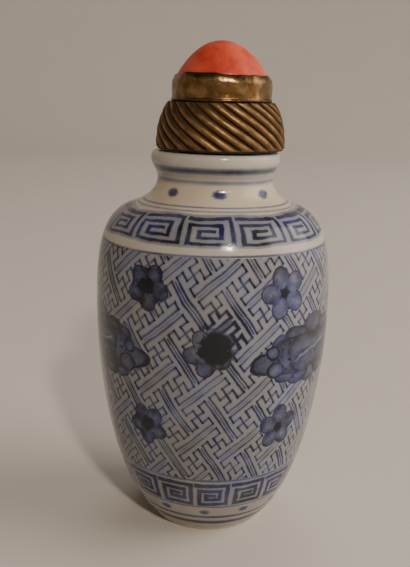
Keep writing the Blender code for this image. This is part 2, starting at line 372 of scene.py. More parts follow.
def makeBlossomGroup(inkGroup):
    # five separate petals in outline with a wash that pools at the rim, a dark heart and a run blot
    look = blossomLook
    tree, given, out = newGroup(
        "plumBlossom",
        {
            "X": 0.0, "Z": 0.0, "Place": (0.0, 0.0, 0.0), "MiddleX": 0.0, "MiddleZ": 0.0, "Size": 3.6,
            "Turn": 0.0, "Wash": 0.4, "Heart": 0.25, "Core": 0.5, "BlotX": 0.0, "BlotZ": 0.0, "Blot": 0.0,
        },
        {"Shape": float, "Ink": float},
    )
    size, inkPlace = given["Size"], given["Place"]
    x = minus(tree, given["X"], given["MiddleX"])
    z = minus(tree, given["Z"], given["MiddleZ"])
    far = doVector(tree, "LENGTH", pack(tree, x, z))
    angle = doMath(tree, "ADD", doMath(tree, "ARCTAN2", z, x), given["Turn"])
    fifth = math.tau / 5
    turns = times(tree, angle, 1 / fifth)
    swing = times(tree, minus(tree, turns, doMath(tree, "ROUND", turns)), fifth)
    along = times(tree, far, doMath(tree, "COSINE", swing))
    across = times(tree, far, doMath(tree, "SINE", swing))
    along = minus(tree, along, times(tree, size, look["petalReach"]))
    across = times(tree, across, look["petalNarrow"])
    reach = doVector(tree, "LENGTH", pack(tree, along, across))
    radius = times(tree, size, look["petalRadius"])
    petal = minus(tree, reach, radius)
    core = minus(tree, far, times(tree, size, given["Core"]))
    bled = doMath(tree, "MULTIPLY_ADD", grain(tree, inkPlace, 0.7, 5.0, 0.75, 0.8), 5.0, -2.5)
    blotX = minus(tree, x, given["BlotX"])
    blotZ = minus(tree, z, given["BlotZ"])
    blot = minus(tree, doVector(tree, "LENGTH", pack(tree, blotX, blotZ)), given["Blot"])
    blot = doMath(tree, "ADD", blot, times(tree, bled, 0.8))
    blot = ramp(tree, blot, 0.8, -0.6, 0.0, 1.0, True)
    body = doMath(tree, "MINIMUM", petal, core)
    shape = useGroup(tree, inkGroup, Distance=body, Half=0.12, Place=inkPlace, Ragged=0.25)["Ink"]
    rim = useGroup(
        tree, inkGroup, Distance=doMath(tree, "ABSOLUTE", petal), Half=0.15, Soft=0.11, Place=inkPlace,
        Ragged=0.25,
    )["Ink"]
    gap = times(tree, ramp(tree, petal, 0.0, 0.1), ramp(tree, core, 0.2, -0.2))
    heartEdge = minus(tree, far, times(tree, size, given["Heart"]))
    heart = doMath(tree, "ADD", heartEdge, times(tree, bled, 0.7))
    heart = ramp(tree, heart, 0.5, -0.4, 0.0, 1.0, True)
    mottled = ramp(tree, grain(tree, inkPlace, 0.55, 4.0, 0.6), 0.3, 0.7, 0.62, 1.32)
    pooled = ramp(tree, petal, times(tree, radius, -0.9), 0.0, 0.92, 1.2)
    wash = times(tree, times(tree, mottled, pooled), given["Wash"])
    rimInk = times(tree, rim, doMath(tree, "MULTIPLY_ADD", mottled, 0.25, 0.6))
    inside = largest(tree, [wash, rimInk, gap, heart, blot])
    wire(tree, doMath(tree, "MAXIMUM", shape, blot), out["Shape"])
    wire(tree, doMath(tree, "MINIMUM", inside, 1.0), out["Ink"])
    return tree


medallionLook = {
    "middleZ": 33.0,
    "wash": 0.71,
    # petals from back to front: X and Z from the flower's middle, half width, half height, wash, line
    "petals": [
        (0.0, 4.2, 2.9, 1.6, 0.85, 0.8), (0.0, -3.9, 2.2, 1.4, 0.85, 0.8), (4.2, 3.1, 2.4, 1.6, 0.95, 1.0),
        (3.2, -3.3, 2.2, 1.5, 0.95, 0.9), (6.0, -2.8, 1.9, 1.5, 0.9, 0.9), (7.2, 2.2, 1.6, 1.5, 0.9, 0.9),
        (4.4, 0.0, 5.6, 3.1, 0.98, 0.0), (9.6, -0.75, 2.3, 1.5, 0.92, 1.0),
        (8.5, 1.0, 1.05, 1.0, 0.95, 1.1), (7.9, -1.75, 1.5, 1.3, 0.88, 1.0),
        (2.0, 1.0, 3.4, 1.7, 0.9, 0.7), (1.6, -1.4, 3.4, 1.5, 1.0, 0.7),
    ],
    # seeds: X, Z, radius
    "seeds": [
        (6.8, 0.2, 0.30), (6.7, 1.2, 0.26), (5.3, 1.9, 0.30), (6.6, -1.2, 0.28), (5.1, -0.3, 0.42),
        (5.8, -2.0, 0.34), (4.0, 2.5, 0.26), (3.6, -2.5, 0.30),
    ],
    "veinLean": 12.0,
}


def makePetalGroup(inkGroup):
    # one oval petal laid over what is painted already
    tree, given, out = newGroup(
        "ovalPetal",
        {
            "X": 0.0, "Z": 0.0, "Place": (0.0, 0.0, 0.0), "MiddleX": 0.0, "MiddleZ": 0.0, "Width": 1.0,
            "Height": 1.0, "Wash": 0.5, "Line": 0.2, "Dark": 0.9, "Ink": 0.0, "Shape": 0.0,
        },
        {"Ink": float, "Shape": float},
    )
    x = doMath(tree, "DIVIDE", minus(tree, given["X"], given["MiddleX"]), given["Width"])
    z = doMath(tree, "DIVIDE", minus(tree, given["Z"], given["MiddleZ"]), given["Height"])
    reach = doVector(tree, "LENGTH", pack(tree, x, z))
    distance = times(tree, minus(tree, reach, 1.0), given["Height"])
    inside = useGroup(
        tree, inkGroup, Distance=distance, Half=0.05, Place=given["Place"], Ragged=0.15,
    )["Ink"]
    rim = useGroup(
        tree, inkGroup, Distance=doMath(tree, "ABSOLUTE", distance), Half=given["Line"], Soft=0.12,
        Place=given["Place"], Ragged=0.2,
    )["Ink"]
    pooled = times(tree, ramp(tree, reach, 0.25, 1.0, 0.88, 1.15), given["Wash"])
    ink = doMath(tree, "MAXIMUM", pooled, times(tree, rim, given["Dark"]))
    cover = doMath(tree, "MAXIMUM", inside, rim)
    wire(tree, ramp(tree, cover, 0.0, 1.0, given["Ink"], ink), out["Ink"])
    wire(tree, doMath(tree, "MAXIMUM", given["Shape"], cover), out["Shape"])
    return tree


def makeMedallionGroup(inkGroup):
    # long flower, both halves alike: rows of petals round a dark middle with seeds and a pale vein
    look = medallionLook
    petalGroup = makePetalGroup(inkGroup)
    tree, given, out = newGroup(
        "lobedFlower",
        {"X": 0.0, "Z": 0.0, "Place": (0.0, 0.0, 0.0)},
        {"Shape": float, "Ink": float},
    )
    inkPlace = given["Place"]
    sway = doVector(tree, "SUBTRACT", grain(tree, inkPlace, 0.30, 2.0, colour=True), (0.5, 0.5, 0.5))
    sway = unpack(tree, doVector(tree, "SCALE", sway, scale=1.6))
    x = doMath(tree, "ADD", doMath(tree, "ABSOLUTE", given["X"]), sway[0])
    z = doMath(tree, "ADD", minus(tree, given["Z"], look["middleZ"]), sway[2])
    line = ramp(tree, grain(tree, inkPlace, 0.28, 2.0), 0.3, 0.7, 0.08, 0.20)
    line = doMath(tree, "ADD", line, ramp(tree, x, 6.5, 11.5, 0.0, 0.16))
    mottled = ramp(tree, grain(tree, inkPlace, 0.5, 4.0, 0.62), 0.3, 0.72, 0.80, 1.22)
    wash = times(tree, mottled, look["wash"])
    ink, shape = 0.0, 0.0
    for middleX, middleZ, width, height, share, lineShare in look["petals"]:
        layer = useGroup(
            tree, petalGroup, X=x, Z=z, Place=inkPlace, MiddleX=middleX, MiddleZ=middleZ, Width=width,
            Height=height, Wash=times(tree, wash, share),
            Line=times(tree, line, lineShare), Dark=0.6 + 0.35 * lineShare,
            Ink=ink, Shape=shape,
        )
        ink, shape = layer["Ink"], layer["Shape"]
    for middleX, middleZ, radius in look["seeds"]:
        away = pack(tree, minus(tree, x, middleX), minus(tree, z, middleZ))
        seed = useGroup(
            tree, inkGroup, Distance=doVector(tree, "LENGTH", away), Half=radius, Soft=0.16,
            Place=inkPlace, Ragged=0.3,
        )["Ink"]
        ink = doMath(tree, "MAXIMUM", ink, times(tree, seed, 0.95))
    lean = math.tan(math.radians(look["veinLean"]))
    veinZ = doMath(tree, "ABSOLUTE", doMath(tree, "MULTIPLY_ADD", given["X"], -lean, z))
    vein = ramp(tree, veinZ, 0.08, 0.26, 0.32, 0.0, True)
    vein = times(tree, vein, ramp(tree, x, 4.6, 3.4))
    wire(tree, shape, out["Shape"])
    wire(tree, doMath(tree, "MINIMUM", minus(tree, ink, vein), 1.0), out["Ink"])
    return tree


print("pattern groups ready")

strokeGroup = makeStrokeGroup()
inkGroup = makeInkGroup()
unrollGroup = makeUnrollGroup()
latticeGroup = makeLatticeGroup(strokeGroup, inkGroup)
upperFretGroup = makeFretGroup("upperFretSpirals", strokeGroup, upperFret)
lowerFretGroup = makeFretGroup("lowerFretSpirals", strokeGroup, lowerFret)
blossomGroup = makeBlossomGroup(inkGroup)
medallionGroup = makeMedallionGroup(inkGroup)

# rings: level in mm, half width, strength, softness; the first, under the lip, is painted shade, the rest
# are cobalt lines
ringsAndLipShade = [
    (59.45, 0.28, 0.84, 0.60), (58.6, 0.50, 0.13, 0.40), (57.75, 0.20, 0.44, 0.50),
    (54.3, 0.07, 0.42, 0.12), (53.85, 0.06, 0.34, 0.12), (48.4, 0.13, 0.60, 0.16),
    (12.3, 0.24, 0.55, 0.2), (6.72, 0.14, 0.62, 0.2), (4.25, 0.24, 0.72, 0.24), (2.75, 0.38, 0.92, 0.28),
]
# the five blossoms of one repeat, X from the middle of the repeat, blot X and Z from the flower's middle
blossoms = [
    {"MiddleX": 13.25, "MiddleZ": 43.0, "Size": 3.95, "Turn": -0.63, "Wash": 0.56, "Heart": 0.17},
    {"MiddleX": -8.25, "MiddleZ": 43.4, "Size": 3.5, "Turn": 0.20, "Wash": 0.70, "Heart": 0.40,
     "Core": 0.78, "BlotX": -0.7, "BlotZ": 0.2, "Blot": 1.3},
    {"MiddleX": 1.35, "MiddleZ": 34.5, "Size": 3.6, "Turn": 0.45, "Wash": 0.60, "Heart": 0.40,
     "BlotX": 1.1, "BlotZ": 0.7, "Blot": 2.7},
    {"MiddleX": 14.0, "MiddleZ": 21.3, "Size": 3.7, "Turn": -0.30, "Wash": 0.62, "Heart": 0.24,
     "Core": 0.6},
    {"MiddleX": -8.7, "MiddleZ": 21.5, "Size": 3.4, "Turn": 0.45, "Wash": 0.70, "Heart": 0.42,
     "Core": 0.75, "BlotX": -0.2, "BlotZ": 0.2, "Blot": 1.2},
]
# dot rows: count, X of the first, level, half width in X, half height, strength
dotRows = [(8, 1.45, 56.05, 2.4, 0.72, 0.74), (13, -0.5, 5.45, 1.5, 0.66, 0.7)]
repeatCount = 3
repeatMiddle = -1.8

porcelainLook = {
    "body": (0.42, 0.375, 0.315),
    "grey": (0.36, 0.33, 0.29),
    "cream": (0.46, 0.385, 0.285),
    # painted shade multiplied over the lattice field
    "fieldShade": (0.52, 0.54, 0.57),
    # painted shade multiplied over the lower body
    "footwardShade": (0.67, 0.68, 0.70),
    "bare": (0.46, 0.40, 0.33),
    "speck": (0.25, 0.17, 0.09),
    "roughness": 0.16,
    "wobble": 0.055,       # unsteady brush, in mm for the fine and the slow waves
    "drift": 0.16,
}
blueStops = [
    (0.0, (0.26, 0.25, 0.24)), (0.28, (0.155, 0.164, 0.215)), (0.55, (0.064, 0.072, 0.150)),
    (0.8, (0.019, 0.021, 0.060)), (1.0, (0.005, 0.005, 0.012)),
]
greyStops = [
    (0.0, (0.26, 0.25, 0.235)), (0.28, (0.148, 0.148, 0.165)), (0.55, (0.066, 0.068, 0.092)),
    (0.8, (0.020, 0.020, 0.030)), (1.0, (0.005, 0.005, 0.007)),
]


def newMaterial(name):
    material = bpy.data.materials.new(name)
    material.use_nodes = True
    tree = material.node_tree
    tree.nodes.clear()
    output = tree.nodes.new("ShaderNodeOutputMaterial")
    shader = tree.nodes.new("ShaderNodeBsdfPrincipled")
    tree.links.new(shader.outputs[0], output.inputs["Surface"])
    place = tree.nodes.new("ShaderNodeTexCoord").outputs["Object"]
    return material, tree, shader, place


def addBump(tree, shader, height, distance):
    node = tree.nodes.new("ShaderNodeBump")
    node.inputs["Strength"].default_value = 1.0
    node.inputs["Distance"].default_value = distance
    tree.links.new(height, node.inputs["Height"])
    tree.links.new(node.outputs[0], shader.inputs["Normal"])


def folded(tree, x, middle, count):
    # X from the nearest of a number of equal stations round the bottle
    width = girth / count
    away = minus(tree, x, middle)
    turns = doMath(tree, "ROUND", times(tree, away, 1 / width))
    return doMath(tree, "MULTIPLY_ADD", turns, -width, away)


def makePorcelain():
    look = porcelainLook
    material, tree, shader, objectPlace = newMaterial("paintedPorcelain")
    drawn = useGroup(tree, unrollGroup, Vector=objectPlace, Wobble=look["wobble"], Drift=look["drift"])
    x, z, place = drawn["X"], drawn["Z"], drawn["Place"]
    level = unpack(tree, place)[2]

    # ground of keys
    strength = ramp(tree, grain(tree, place, 0.30, 3.0), 0.34, 0.66, 0.58, 0.90)
    thickness = ramp(tree, grain(tree, place, 0.7, 2.0), 0.3, 0.7, 0.14, 0.205)
    runX = folded(tree, x, repeatMiddle + 3.4, repeatCount)
    run = doVector(tree, "LENGTH", pack(tree, runX, minus(tree, z, 37.0)))
    run = ramp(tree, run, 5.2, 2.4, 0.0, 1.0, True)
    strength = doMath(tree, "MULTIPLY_ADD", run, 0.35, strength)
    thickness = doMath(tree, "MULTIPLY_ADD", run, 0.10, thickness)
    ink = useGroup(tree, latticeGroup, X=x, Z=z, Place=place, Half=thickness, Strength=strength)["Ink"]

    # flowers stand on the ground and hide it
    repeatX = folded(tree, x, repeatMiddle, repeatCount)
    for settings in blossoms:
        flower = useGroup(tree, blossomGroup, X=repeatX, Z=z, Place=place, **settings)
        ink = ramp(tree, flower["Shape"], 0.0, 1.0, ink, flower["Ink"])
    largeX = folded(tree, x, repeatMiddle + girth / repeatCount / 2, repeatCount)
    large = useGroup(tree, medallionGroup, X=largeX, Z=z, Place=place)
    ink = ramp(tree, large["Shape"], 0.0, 1.0, ink, large["Ink"])

    # fret bands
    for group, fret in ((upperFretGroup, upperFret), (lowerFretGroup, lowerFret)):
        low, high, half = fret["low"], fret["high"], fret["half"]
        distance = useGroup(tree, group, X=x, Z=z)["Distance"]
        halfWidth = ramp(tree, grain(tree, place, 0.4, 2.0), 0.3, 0.7, half * 0.8, half * 1.2)
        spiral = useGroup(
            tree, inkGroup, Distance=distance, Half=halfWidth, Soft=0.17, Place=place, Ragged=0.2,
        )["Ink"]
        spiral = doMath(tree, "MAXIMUM", spiral, ramp(tree, distance, 0.3, 1.6, 0.36, 0.13))
        inBand = times(tree, ramp(tree, z, low - 0.05, low), ramp(tree, z, high + 0.05, high))
        dark = ramp(tree, grain(tree, place, 0.28, 3.0, 0.6), 0.34, 0.66, 0.63, 0.88)
        spiral = times(tree, spiral, inBand)
        ink = doMath(tree, "MAXIMUM", ink, times(tree, spiral, dark))

    # rings, with the painted shade under the lip, and dots
    for ringLevel, ringHalf, ringStrength, ringSoft in ringsAndLipShade:
        sway = doMath(tree, "MULTIPLY_ADD", grain(tree, place, 0.05, 0.0), 0.6, -0.3)
        away = minus(tree, doMath(tree, "ADD", level, sway), ringLevel)
        away = doMath(tree, "ABSOLUTE", away)
        ring = useGroup(
            tree, inkGroup, Distance=away, Half=ringHalf, Soft=ringSoft, Place=place, Ragged=0.10,
        )["Ink"]
        fade = ramp(tree, grain(tree, place, 0.22, 2.0), 0.3, 0.7, ringStrength * 0.7, ringStrength * 1.15)
        ink = doMath(tree, "MAXIMUM", ink, times(tree, ring, fade))
    for count, firstX, dotLevel, halfWidth, halfHeight, dotStrength in dotRows:
        dotX = times(tree, folded(tree, x, firstX, count), 1 / halfWidth)
        dotZ = times(tree, minus(tree, z, dotLevel), 1 / halfHeight)
        away = doVector(tree, "LENGTH", pack(tree, dotX, dotZ))
        dot = useGroup(tree, inkGroup, Distance=away, Half=0.8, Soft=0.35, Place=place, Ragged=0.5)["Ink"]
        faded = ramp(tree, grain(tree, place, 0.5, 3.0), 0.3, 0.7, dotStrength * 0.65, dotStrength * 1.1)
        ink = doMath(tree, "MAXIMUM", ink, times(tree, dot, faded))

    # glaze over the whole: clouds of grey and cream, iron specks, bare foot rim, and painted shade over
    # the lattice field and growing towards the foot
    clouds = ramp(tree, grain(tree, place, 0.10, 3.0, 0.6), 0.35, 0.68)
    body = blendColour(tree, clouds, look["body"], look["grey"])
    creamBand = times(tree, ramp(tree, level, 53.2, 54.6), ramp(tree, level, 57.6, 57.0))
    footBand = times(tree, ramp(tree, level, 6.9, 6.2), 0.2)
    body = blendColour(tree, doMath(tree, "MAXIMUM", creamBand, footBand), body, look["cream"])
    # painted shade: the lattice field is darkened
    shadedField = times(tree, ramp(tree, level, 12.0, 13.0), ramp(tree, level, 48.8, 48.0))
    body = blendColour(tree, shadedField, body, blendColour(tree, 1.0, body, look["fieldShade"], "MULTIPLY"))
    # painted shade, growing from 44 mm down towards the foot
    footwardShadeMask = ramp(tree, level, 44.0, 4.0, 0.0, 1.0)
    body = blendColour(tree, footwardShadeMask, body, blendColour(tree, 1.0, body, look["footwardShade"], "MULTIPLY"))
    hue = ramp(tree, grain(tree, place, 0.16, 3.0, 0.6), 0.40, 0.60)
    # ink above 57 mm turns grey, in the neck lines and in the painted shade under the lip
    hue = times(tree, hue, ramp(tree, level, 56.9, 57.3, 1.0, 0.25))
    hue = times(tree, hue, ramp(tree, level, 3.6, 6.2, 0.35, 1.0))
    cobalt = blendColour(tree, hue, colourRamp(tree, ink, greyStops), colourRamp(tree, ink, blueStops))
    inked = ramp(tree, ink, 0.0, 0.22)
    colour = blendColour(tree, inked, body, cobalt)
    specks = tree.nodes.new("ShaderNodeTexVoronoi")
    wire(tree, place, specks.inputs["Vector"])
    wire(tree, 0.42, specks.inputs["Scale"])
    speck = ramp(tree, specks.outputs["Distance"], 0.035, 0.07, 0.5, 0.0)
    colour = blendColour(tree, speck, colour, look["speck"])
    bareNoise = doMath(tree, "MULTIPLY_ADD", grain(tree, place, 0.8, 2.0), 0.8, -0.4)
    bare = ramp(tree, doMath(tree, "ADD", level, bareNoise), 0.8, 0.55)
    colour = blendColour(tree, bare, colour, look["bare"])
    tree.links.new(colour, shader.inputs["Base Color"])
    smooth, dull = look["roughness"] * 0.7, look["roughness"] * 1.3
    rough = ramp(tree, grain(tree, place, 0.6, 3.0), 0.3, 0.7, smooth, dull)
    rough = ramp(tree, bare, 0.0, 1.0, rough, 0.75)
    tree.links.new(rough, shader.inputs["Roughness"])
    shader.inputs["IOR"].default_value = 1.52
    shader.inputs["Specular IOR Level"].default_value = 0.38
    waves = grain(tree, place, 0.45, 2.0)
    pits = ramp(tree, specks.outputs["Distance"], 0.02, 0.10, -0.35, 0.0, True)
    addBump(tree, shader, doMath(tree, "ADD", waves, pits), 0.045 * mm)
    return material


# revolved meshes

def curveRun(start, startLean, end, endLean, pulls, points):
    # smooth stretch of outline; leans are degrees from upright, positive outward
    first, last = Vector((start[0], 0, start[1])), Vector((end[0], 0, end[1]))
    span = (last - first).length
    out = Vector((math.sin(math.radians(startLean)), 0, math.cos(math.radians(startLean))))
    back = Vector((math.sin(math.radians(endLean)), 0, math.cos(math.radians(endLean))))
    firstPull = first + out * span * pulls[0]
    lastPull = last - back * span * pulls[1]
    return interpolate_bezier(first, firstPull, lastPull, last, points)


def joinRuns(*runs):
    outline = list(runs[0])
    for run in runs[1:]:
        outline += run[1:]
    return outline


def spinOutline(outline, segments):
    bm = bmesh.new()
    verts = [bm.verts.new(point * mm) for point in outline]
    edges = [bm.edges.new(pair) for pair in zip(verts, verts[1:])]
    bmesh.ops.spin(
        bm, geom=verts + edges, cent=(0, 0, 0), axis=(0, 0, 1), angle=math.tau,
        steps=segments, use_merge=True,
    )
    bmesh.ops.remove_doubles(bm, verts=bm.verts, dist=0.0005 * mm)
    bmesh.ops.recalc_face_normals(bm, faces=bm.faces)
    return bm


def addPiece(name, bm, material, node, sharpAngle=50, shift=0.0):
    bmesh.ops.translate(bm, verts=bm.verts, vec=(shift, 0, 0))
    mesh = bpy.data.meshes.new(name)
    bm.to_mesh(mesh)
    bm.free()
    mesh.shade_smooth()
    mesh.set_sharp_from_angle(angle=math.radians(sharpAngle))
    mesh.materials.append(material)
    piece = bpy.data.objects.new(name, mesh)
    bpy.context.scene.collection.objects.link(piece)
    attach(piece, "root")
    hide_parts(node)
    return piece


bottleShape = {
    "height": bottleHeight / mm, "belly": bellyRadius / mm - 0.02, "bellyLevel": 37.25,
    "foot": 9.88, "rim": 9.6, "rimHeight": 0.34, "rimInside": 7.8, "recess": 1.2, "recessFlat": 3,
    "recessEdge": 6.4, "floor": 4.2, "floorRound": 3.4, "shoulder": (13.75, 53.35), "lean": -71.85,
    "neck": (9.23, 57.6), "lip": (10.28, 60.75), "lipEdge": 9.25, "mouth": 5.8, "mouthRound": 0.6,
    "throatDrop": 8.6, "wall": 2.4, "uneven": 0.10, "unevenFrom": 1.5, "unevenTo": 61.9, "segments": 224,
}


def makeBottle(material):
    s = bottleShape
    top = s["height"]
    lean, throat = s["lean"], (s["mouth"], top - s["throatDrop"])
    footEdge = (s["foot"] + 0.02, s["rimHeight"])
    widest = (s["belly"], s["bellyLevel"])
    underside = [Vector((0, 0, s["recess"])), Vector((s["recessFlat"], 0, s["recess"]))]
    underside += curveRun((s["recessEdge"], s["recess"]), 90, (s["rimInside"], 0.15), 150, (0.4, 0.3), 8)
    rimEdge = curveRun((s["rimInside"] + 0.15, 0.0), 90, (s["rim"], 0.0), 90, (0.3, 0.3), 4)
    turnUp = curveRun((s["rim"] + 0.05, 0.03), 75, footEdge, 45, (0.4, 0.4), 5)
    bowl = curveRun(footEdge, 45, widest, 0, (0.25, 0.315), 46)
    over = curveRun(widest, 0, s["shoulder"], lean, (0.457, 0.294), 34)
    rise = curveRun(s["shoulder"], lean, s["neck"], 0, (0.489, 0.282), 16)
    flare = curveRun(s["neck"], 0, s["lip"], 0, (0.42, 0.30), 14)
    roll = curveRun(s["lip"], 0, (s["lipEdge"], top), -90, (0.5, 0.5), 9)
    mouthRound = s["mouthRound"]
    mouthTop, mouthLow = (s["mouth"] + mouthRound, top), (s["mouth"], top - mouthRound)
    mouth = curveRun(mouthTop, -90, mouthLow, -180, (0.5, 0.5), 6)
    bore = [Vector((throat[0], 0, throat[1]))]
    wall = []
    shell = joinRuns(bowl[::3], over[::3])
    for i in range(1, len(shell) - 1):
        run = (shell[i + 1] - shell[i - 1]).normalized()
        wall.append(shell[i] + Vector((-run.z, 0, run.x)) * s["wall"])
    wall = [point for point in wall if point.z > s["floor"] + s["floorRound"]]
    wallLow, wallTop = (wall[0].x, wall[0].z), (wall[-1].x, wall[-1].z)
    narrowing = curveRun(wallTop, lean, throat, 0, (0.39, 0.39), 8)
    corner = curveRun((wallLow[0] - s["floorRound"], s["floor"]), 90, wallLow, 12, (0.39, 0.39), 7)
    inside = corner + wall[1:] + narrowing[1:-1]
    outline = underside + list(rimEdge) + list(turnUp) + bowl[1:] + over[1:] + rise[1:] + flare[1:]
    outline += roll[1:] + list(mouth) + bore + inside[::-1] + [Vector((0, 0, s["floor"]))]
    bm = spinOutline(outline, s["segments"])
    # thrown and finished by hand: the wall isn't quite round
    low, high = s["unevenFrom"] * mm, s["unevenTo"] * mm
    for vert in bm.verts:
        radius = math.hypot(vert.co.x, vert.co.y)
        if radius > 0.001 * mm and low < vert.co.z < high:
            drift = noise.noise(vert.co * 45) * s["uneven"] * mm * min(1, (vert.co.z - low) / (6 * mm))
            limit = min(1 + drift / radius, (bellyRadius - 0.01 * mm) / radius)
            vert.co.x *= limit
            vert.co.y *= limit
    return addPiece("porcelainBottle", bm, material, "bottle")


makeBottle(makePorcelain())
print("bottle done")


# metal, shared by the cap and the bezel

# the darkest colour is dirt and also painted shade under the cap and round the bezel's foot
metalLook = {
    "bright": (0.35, 0.215, 0.10), "gilt": (0.17, 0.092, 0.034), "dirtAndShadeColour": (0.026, 0.015, 0.009),
}


def makeWearGroup():
    # worn metal: bright where it is rubbed, dark and dull in the hollows; the dark serves as dirt and also
    # as painted shade where the cap, plate and bezel meet
    tree, given, out = newGroup(
        "wornGilt",
        {
            "Place": (0.0, 0.0, 0.0), "Hollow": 0.0, "Bright": [0.6, 0.4, 0.2, 1.0],
            "Gilt": [0.3, 0.2, 0.1, 1.0], "Dirt": [0.03, 0.02, 0.01, 1.0], "Roughness": 0.35, "Grain": 1.0,
        },
        {"Colour": list, "Roughness": float, "Metal": float, "Height": float},
    )
    coarse = grain(tree, given["Place"], 0.55, 3.0, 0.5)
    fine = grain(tree, given["Place"], 5.0, 3.0, 0.6)
    fine = ramp(tree, given["Grain"], 0.0, 1.0, 0.5, fine)
    rub = minus(tree, doMath(tree, "MULTIPLY_ADD", coarse, 0.9, 0.25), given["Hollow"])
    rub = ramp(tree, rub, 0.50, 0.86, 0.0, 1.0, True)
    patches = ramp(tree, grain(tree, given["Place"], 0.38, 3.0, 0.55), 0.52, 0.74, 0.0, 0.55)
    shadeAndDirt = doMath(tree, "ADD", given["Hollow"], doMath(tree, "MULTIPLY_ADD", fine, 0.7, -0.35))
    shadeAndDirt = doMath(tree, "ADD", shadeAndDirt, patches)
    shadeAndDirt = ramp(tree, shadeAndDirt, 0.35, 0.85, 0.0, 1.0, True)
    colour = blendColour(tree, rub, given["Gilt"], given["Bright"])
    colour = blendColour(tree, shadeAndDirt, colour, given["Dirt"])
    rough = doMath(tree, "MULTIPLY_ADD", fine, 0.22, minus(tree, given["Roughness"], 0.1))
    rough = doMath(tree, "MULTIPLY_ADD", shadeAndDirt, 0.3, rough)
    wire(tree, colour, out["Colour"])
    wire(tree, rough, out["Roughness"])
    wire(tree, ramp(tree, shadeAndDirt, 0.0, 1.0, 1.0, 0.35), out["Metal"])
    coarse = times(tree, coarse, 2.0)
    fine = times(tree, fine, 0.5)
    wire(tree, doMath(tree, "ADD", coarse, fine), out["Height"])
    return tree


wearGroup = makeWearGroup()


def makeMetal(name, roughness, bump, graininess):
    look = metalLook
    material, tree, shader, objectPlace = newMaterial(name)
    place = doVector(tree, "SCALE", objectPlace, scale=1 / mm)
    # darkening set on the mesh: dirt, and painted shade where the parts meet
    dirtAndShadeMask = tree.nodes.new("ShaderNodeAttribute")
    dirtAndShadeMask.attribute_name = "dirtAndShadeMask"
    worn = useGroup(
        tree, wearGroup, Place=place, Hollow=dirtAndShadeMask.outputs["Fac"], Bright=(*look["bright"], 1),
        Gilt=(*look["gilt"], 1), Dirt=(*look["dirtAndShadeColour"], 1), Roughness=roughness, Grain=graininess,
    )
    tree.links.new(worn["Colour"], shader.inputs["Base Color"])
    tree.links.new(worn["Roughness"], shader.inputs["Roughness"])
    tree.links.new(worn["Metal"], shader.inputs["Metallic"])
    addBump(tree, shader, worn["Height"], bump * mm)
    return material


capShape = {
    "base": capLow.z / mm, "top": capHigh.z / mm, "radius": 10.25, "plate": 9.95, "plateEdge": 0.22,
    "roll": 0.22, "topRadius": 8.45, "flatRadius": 7.9, "ribs": 25, "twist": 62.0, "depth": 0.55,
    "ridgeSharpness": 0.62, "pointsPerRib": 16, "wall": 0.7, "hole": 5.8, "insideLow": 9.0,
    "insideTop": 7.2,
}


def makeCap(material):
    s = capShape
    base, top = s["base"], s["top"]
    plateTop = base + s["plateEdge"]
    widest = (s["radius"], plateTop + s["roll"])
    roll = curveRun((s["plate"] + 0.05, plateTop), 90, widest, 0, (0.5, 0.45), 12)
    dome = curveRun(widest, 0, (s["topRadius"], top), -35, (0.34, 0.34), 44)
    ribOutline = joinRuns(roll, dome)
    outline = [Vector((0, 0, top)), Vector((s["flatRadius"], 0, top))] + ribOutline[::-1]
    outline += [Vector((s["plate"], 0, plateTop)), Vector((s["plate"], 0, base))]
    floor, ceiling = base + s["wall"], top - s["wall"]
    outline += [Vector((s["hole"], 0, base)), Vector((s["hole"], 0, floor))]
    outline += [Vector((s["insideLow"], 0, floor)), Vector((s["insideTop"], 0, ceiling))]
    outline += [Vector((0, 0, ceiling))]
    bm = spinOutline(outline, s["ribs"] * s["pointsPerRib"])
    layer = bm.verts.layers.float.new("dirtAndShadeMask")
    low, high = plateTop * mm, top * mm
    for vert in bm.verts:
        radius = math.hypot(vert.co.x, vert.co.y)
        angle = math.atan2(vert.co.y, vert.co.x)
        rise = (vert.co.z - low) / (high - low)
        onRibs = radius > 8.3 * mm and vert.co.z > low + 0.001 * mm and radius > (9.2 - 2.0 * rise) * mm
        onTop = vert.co.z > high - 0.01 * mm
        if not (onRibs or onTop):
            # plate, its underside and the inside: painted shade under the cap
            vert[layer] = 0.75
            continue
        share = (angle / math.tau * s["ribs"]) % 1.0
        ridge = abs(math.sin(math.pi * share)) ** s["ridgeSharpness"]
        if onRibs:
            unevenness = 1 + 0.35 * noise.noise(Vector((math.cos(angle), math.sin(angle), rise)) * 2.5)
            edgeFade = min(1.0, rise / 0.05, 0.45 + (1 - rise) / 0.2)
            cut = s["depth"] * mm * (1 - ridge) * unevenness * edgeFade
            radius -= cut
            # darker in the grooves
            vert[layer] = min(1.0, (1 - ridge) * 1.15)
        else:
            # flat top round the bezel's foot: painted shade
            vert[layer] = 0.6
        turned = angle - math.radians(s["twist"]) * max(rise, 0)
        wobble = noise.noise(Vector((math.cos(turned), math.sin(turned), rise * 3)) * 1.7) * 0.06 * mm
        if onRibs:
            radius = min(radius + wobble, s["radius"] * mm)
        vert.co.x = radius * math.cos(turned)
        vert.co.y = radius * math.sin(turned)
    return addPiece("ribbedCap", bm, material, "stopper_cap", 60, stopperShift)


bezelShape = {
    "base": 69.5, "top": 73.5, "radius": 7.95, "rim": 7.35, "inside": 7.06, "dents": 0.16, "wrinkle": 0.09,
    "rimWave": 0.24, "swell": 0.42, "swellTurn": -2.15, "swellWidth": 0.55, "segments": 320,
}


